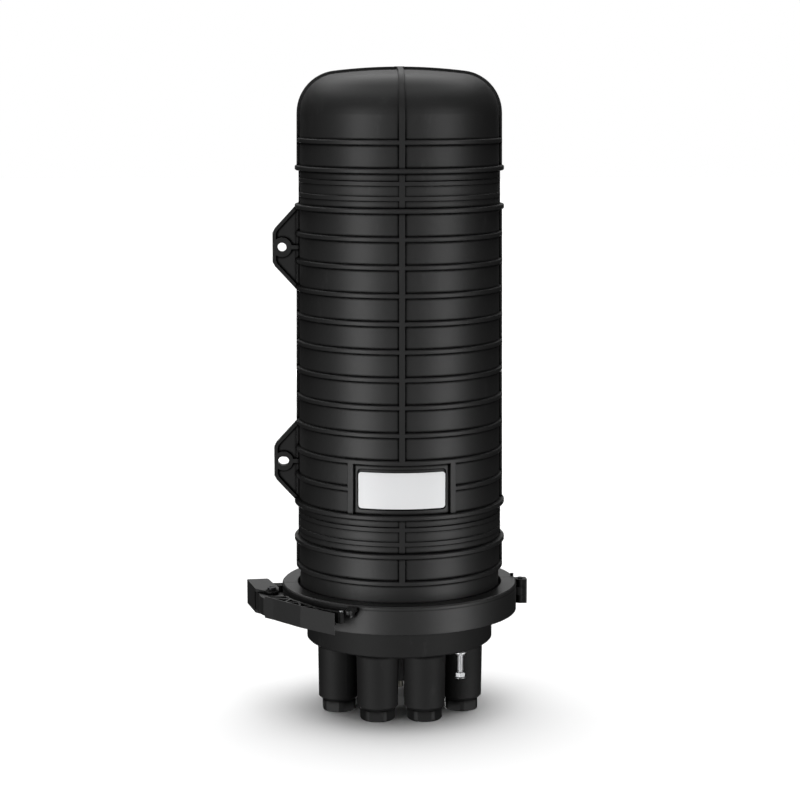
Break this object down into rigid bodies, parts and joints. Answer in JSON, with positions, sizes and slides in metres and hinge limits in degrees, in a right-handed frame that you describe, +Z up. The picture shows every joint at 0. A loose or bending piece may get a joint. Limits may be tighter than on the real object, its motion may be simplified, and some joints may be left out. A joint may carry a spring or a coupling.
{
  "type": "dome splice closure",
  "caption": "Black upright closure that seals cable splices: a ribbed dome on a ported base, held by a clamp hoop with a lever latch.",
  "frame": {"origin": "on the dome's axis, level with the bottoms of the gland nuts that the closure stands on", "axes": "+Z up along the dome's axis, -Y towards the label, -X towards the two mounting lugs"},
  "size_m": [0.2869, 0.2487, 0.6452],
  "materials": {
    "dome": "satin black polypropylene, fine texture",
    "label": "smooth silver-white, blank",
    "base": "satin black polypropylene",
    "hoop": "satin black glass-filled nylon",
    "latch": "satin black glass-filled nylon",
    "nut": "satin black nylon",
    "rubber": "matt black",
    "rod": "matt black polyethylene",
    "steel": "bright zinc",
    "valve": "nickel plated",
    "frame": "plain sheet",
    "tray": "light grey ABS",
    "cover": "clear grey",
    "strap": "black hook-and-loop webbing"
  },
  "bodies": {
    "closure": {"dome": "dome", "label": "label", "base": "base", "seal_ring": "rubber", "rear_hoop": "hoop", "hinge_pin": "steel", "gland_1": "rubber", "gland_2": "rubber", "gland_3": "rubber", "gland_4": "rubber", "gland_5": "rubber", "gland_6": "rubber", "gland_7": "rubber", "gland_8": "rubber", "blanking_rod_1": "rod", "blanking_rod_2": "rod", "blanking_rod_3": "rod", "blanking_rod_4": "rod", "blanking_rod_5": "rod", "blanking_rod_6": "rod", "blanking_rod_7": "rod", "blanking_rod_8": "rod", "earth_stud": "steel", "earth_washer": "steel", "earth_nut": "steel", "valve_body": "rod", "valve_stem": "valve", "tray_frame": "frame", "slack_basket": "tray", "tray_hinge": "tray", "splice_tray_1": "tray", "splice_tray_2": "tray", "splice_tray_3": "tray", "splice_tray_4": "tray", "tray_cover": "cover", "tray_pins": "steel", "tray_strap": "strap", "frame_screws": "steel"},
    "front_hoop": {"front_hoop": "hoop", "lever_pivot": "steel"},
    "lever": {"lever": "latch", "hook_pin": "steel", "keeper_pin": "steel"},
    "hook": {"hook": "latch", "catch_pin": "steel"},
    "gland_nut_1": {"gland_nut_1": "nut"},
    "gland_nut_2": {"gland_nut_2": "nut"},
    "gland_nut_3": {"gland_nut_3": "nut"},
    "gland_nut_4": {"gland_nut_4": "nut"},
    "gland_nut_5": {"gland_nut_5": "nut"},
    "gland_nut_6": {"gland_nut_6": "nut"},
    "gland_nut_7": {"gland_nut_7": "nut"},
    "gland_nut_8": {"gland_nut_8": "nut"}
  },
  "joints": [
    {"name": "lever_open", "type": "hinge", "parent": "front_hoop", "child": "lever", "pos_m": [-0.13739, -0.01306, 0.112], "axis": [0, 0, -1], "range_deg": [0, 85]},
    {"name": "hoop_open", "type": "hinge", "parent": "closure", "child": "front_hoop", "pos_m": [0.1243, 0.01, 0.112], "axis": [0, 0, 1], "range_deg": [0, 22]},
    {"name": "hook_swing", "type": "hinge", "parent": "lever", "child": "hook", "pos_m": [-0.12891, -0.03746, 0.112], "axis": [0, 0, 1], "range_deg": [0, 94]},
    {"name": "gland_nut_1_turn", "type": "hinge", "parent": "closure", "child": "gland_nut_1", "pos_m": [-0.06202, -0.02664, 0.005], "axis": [0, 0, -1], "range_deg": [0, 360]},
    {"name": "gland_nut_2_turn", "type": "hinge", "parent": "closure", "child": "gland_nut_2", "pos_m": [-0.02336, -0.06333, 0.005], "axis": [0, 0, -1], "range_deg": [0, 360]},
    {"name": "gland_nut_3_turn", "type": "hinge", "parent": "closure", "child": "gland_nut_3", "pos_m": [0.02336, -0.06333, 0.005], "axis": [0, 0, -1], "range_deg": [0, 360]},
    {"name": "gland_nut_4_turn", "type": "hinge", "parent": "closure", "child": "gland_nut_4", "pos_m": [0.06202, -0.02664, 0.005], "axis": [0, 0, -1], "range_deg": [0, 360]},
    {"name": "gland_nut_5_turn", "type": "hinge", "parent": "closure", "child": "gland_nut_5", "pos_m": [-0.06202, 0.02664, 0.005], "axis": [0, 0, -1], "range_deg": [0, 360]},
    {"name": "gland_nut_6_turn", "type": "hinge", "parent": "closure", "child": "gland_nut_6", "pos_m": [-0.02336, 0.06333, 0.005], "axis": [0, 0, -1], "range_deg": [0, 360]},
    {"name": "gland_nut_7_turn", "type": "hinge", "parent": "closure", "child": "gland_nut_7", "pos_m": [0.02336, 0.06333, 0.005], "axis": [0, 0, -1], "range_deg": [0, 360]},
    {"name": "gland_nut_8_turn", "type": "hinge", "parent": "closure", "child": "gland_nut_8", "pos_m": [0.06202, 0.02664, 0.005], "axis": [0, 0, -1], "range_deg": [0, 360]}
  ],
  "couplings": [
    {"joint": "hoop_open", "follows": "lever_open", "ratio": 0.25},
    {"joint": "hook_swing", "follows": "lever_open", "ratio": 1.1}
  ]
}
